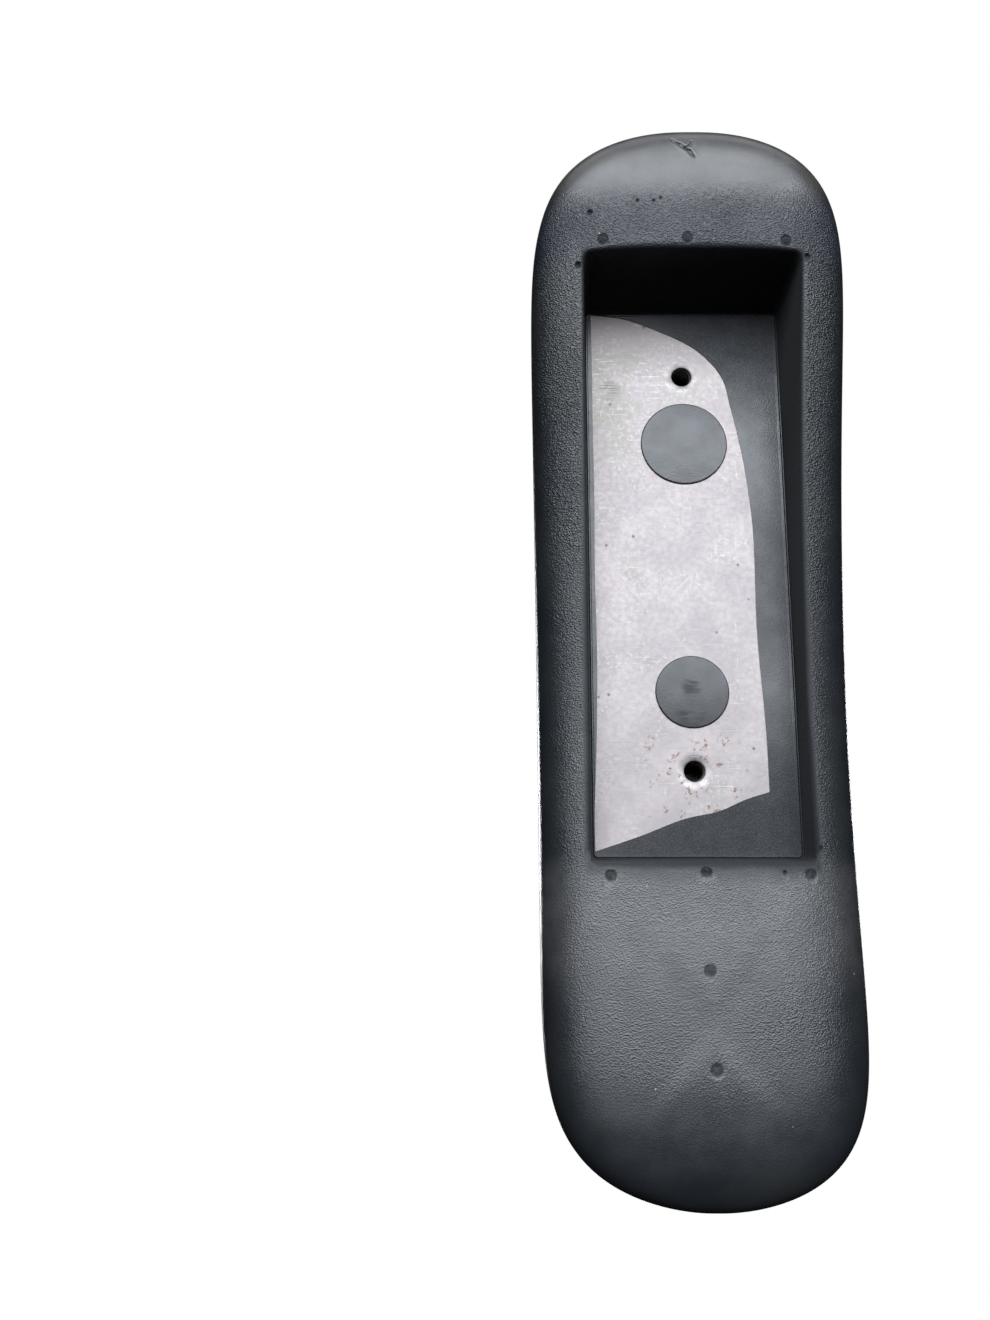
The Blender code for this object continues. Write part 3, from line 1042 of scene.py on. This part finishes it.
def mark_surfaces(pad):
    """Writes where each finish of the foam lies, as point attributes from 0 to 1.

    recess and wall are the inside of the recess, and its side and rear walls, which are painted
    near black as painted shade. smooth, crisp and sink are where the grain is weak, where it is
    strong, and the nose's shallow sink marks, whose lighter bluish colour is a painted sheen.
    worn is the scuffed rear end, and band the dark band between the rear end and the recess,
    which is painted shade. One more mark paints the start of the nose paler, as painted light.
    The last is the rough foam of vent stubs and pits, painted darker in their hollows as
    painted shade.
    """
    mesh = pad.data
    places = np.empty(len(mesh.vertices) * 3, np.float32)
    mesh.vertices.foreach_get("co", places)
    places = places.reshape(-1, 3) / MM

    def step(value, low, high):
        part = np.clip((value - low) / (high - low), 0, 1)
        return part * part * (3 - 2 * part)

    side = step(np.abs(places[:, 0]), FLOOR_HALF_WIDTH + 0.6, FLOOR_HALF_WIDTH + 3.0)
    middle = (FLOOR_REAR + FLOOR_FRONT) / 2
    half = (FLOOR_REAR - FLOOR_FRONT) / 2
    end = step(np.abs(places[:, 1] - middle), half + 1.5, half + 6.0)
    inside = (1 - np.maximum(side, end)) * (places[:, 2] < 3.0)
    nose = step(-places[:, 1], 112.0, 146.0)
    worn = step(places[:, 1], 87.0, 101.0)
    below = places[:, 2] < 0
    front_wall = step(-places[:, 1], -FLOOR_FRONT - 1.5, -FLOOR_FRONT - 0.3)
    # a bow tie of two faint wedges, one above and one below the middle of the nose; its lighter
    # bluish colour is a painted sheen
    across, along = np.abs(places[:, 0]), np.abs(places[:, 1] - NOSE_SINK_Y)
    sink = step(along * 0.8 + 2.0 - across, 0.0, 7.0) * (1 - step(along, 12.0, 26.0))
    # vent scars and pits: torn foam, and the painted shade of their hollows
    torn_and_pit_shade = np.zeros(len(places))
    for x, y, radius in [(x, y, VENT_RADIUS * 1.15) for x, y in VENT_SCARS] + PITS:
        away = np.hypot(places[:, 0] - x, places[:, 1] - y)
        torn_and_pit_shade = np.maximum(torn_and_pit_shade, 1 - step(away, radius, radius + 0.4))
    values = {
        "recess": inside,
        # the walls' near-black colour is painted shade
        "wall": inside * step(-places[:, 2], 0.8, 1.6) * (1 - 0.8 * front_wall),
        "worn": worn,
        "smooth": np.maximum(np.maximum(nose, worn), 0.4 * (places[:, 2] > 2.0)),
        "sink": sink * below,
        "torn_and_pit_shade": torn_and_pit_shade * below,
        # band is painted shade, darker than the foam round it
        "band": step(places[:, 1], 70.0, 82.0) * (1 - step(places[:, 1], 86.0, 96.0)) * below,
        "crisp": step(places[:, 1], -40.0, 40.0) * (1 - step(places[:, 1], 84.0, 97.0)) * below,
        # the start of the nose, painted paler as painted light
        "nose_painted_light": step(-places[:, 1], 76.0, 84.0) * (1 - step(-places[:, 1], 92.0, 120.0)) * below,
    }
    for name, value in values.items():
        marks = mesh.attributes.new(name, "FLOAT", "POINT")
        marks.data.foreach_set("value", value.astype(np.float32))


# --- floor, light and camera ---------------------------------------------------------------------


def area_light(name, place, target, size, power, colour=(0.94, 0.96, 1.0)):
    lamp = bpy.data.lights.new(name, "AREA")
    lamp.shape = "RECTANGLE"
    lamp.size, lamp.size_y = size
    lamp.energy = power
    lamp.color = colour
    obj = bpy.data.objects.new(name, lamp)
    obj.location = place
    obj.rotation_euler = (Vector(target) - Vector(place)).to_track_quat("-Z", "Y").to_euler()
    obj.visible_camera = False
    bpy.context.scene.collection.objects.link(obj)
    return obj


def make_stage():
    reach, z = STUDIO_FLOOR_REACH, STUDIO_FLOOR_Z
    corners = [(-reach, -reach, z), (reach, -reach, z), (reach, reach, z), (-reach, reach, z)]
    mesh = bpy.data.meshes.new("studio_floor")
    mesh.from_pydata(corners, [], [(0, 1, 2, 3)])
    g = Graph("studio_floor")
    g.shader.inputs["Base Color"].default_value = (0.85, 0.85, 0.85, 1)
    g.shader.inputs["Roughness"].default_value = 0.9
    g.shader.inputs["Emission Color"].default_value = (1, 1, 1, 1)
    g.shader.inputs["Emission Strength"].default_value = 0.92
    ground = link("studio_floor", mesh, g.material)
    ground.visible_diffuse = False
    ground.visible_glossy = False

    under = Vector((0.0, 0.42, -0.9)).normalized()
    area_light("key_below", under * KEY_DISTANCE, (0, -0.02, 0), KEY_SIZE, KEY_POWER)
    back = Vector((0, 0.96, -0.28)).normalized()
    area_light("rim_rear", back * 1.4, (0, 0.05, -0.02), (2.0, 0.5), 9.0)
    above = Vector((-0.1, 0.1, 1.0)).normalized()
    area_light("key_above", above * 1.4, (0, -0.02, 0), (1.0, 1.0), 45.0)

    world = bpy.data.worlds.new("studio")
    world.use_nodes = True
    bpy.context.scene.world = world
    tree = world.node_tree
    background = tree.nodes["Background"]
    background.inputs["Color"].default_value = (0.95, 0.97, 1.0, 1)
    background.inputs["Strength"].default_value = AMBIENT
    white = tree.nodes.new("ShaderNodeBackground")
    white.inputs["Color"].default_value = (1, 1, 1, 1)
    path = tree.nodes.new("ShaderNodeLightPath")
    blend = tree.nodes.new("ShaderNodeMixShader")
    tree.links.new(path.outputs["Is Camera Ray"], blend.inputs[0])
    tree.links.new(background.outputs[0], blend.inputs[1])
    tree.links.new(white.outputs[0], blend.inputs[2])
    tree.links.new(blend.outputs[0], tree.nodes["World Output"].inputs["Surface"])
    bpy.context.scene.view_settings.view_transform = "Standard"


def make_camera():
    lens = bpy.data.cameras.new("camera")
    lens.sensor_width = SENSOR
    lens.lens = FOCAL_LENGTH
    camera = bpy.data.objects.new("camera", lens)
    right = CAMERA_FORWARD.cross(CAMERA_UP).normalized()
    up = right.cross(CAMERA_FORWARD).normalized()
    turn = Matrix((right, up, -CAMERA_FORWARD.normalized())).transposed()
    camera.matrix_world = Matrix.Translation(CAMERA_PLACE) @ turn.to_4x4()
    bpy.context.scene.collection.objects.link(camera)
    bpy.context.scene.camera = camera


# --- assembly ------------------------------------------------------------------------------------


def main():
    make_camera()
    make_stage()
    foam, zinc, nut_steel = foam_material(), zinc_material(), nut_material()
    pad = make_moulding(foam)
    mark_surfaces(pad)
    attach(pad, "root")
    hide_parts("pad_body")
    plate = make_insert(zinc)
    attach(plate, "root")
    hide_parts("insert_plate")
    for node, y in screw_places().items():
        nut = make_nut(node + "_threaded", y, nut_steel)
        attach(nut, "root")
        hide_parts(node)


main()
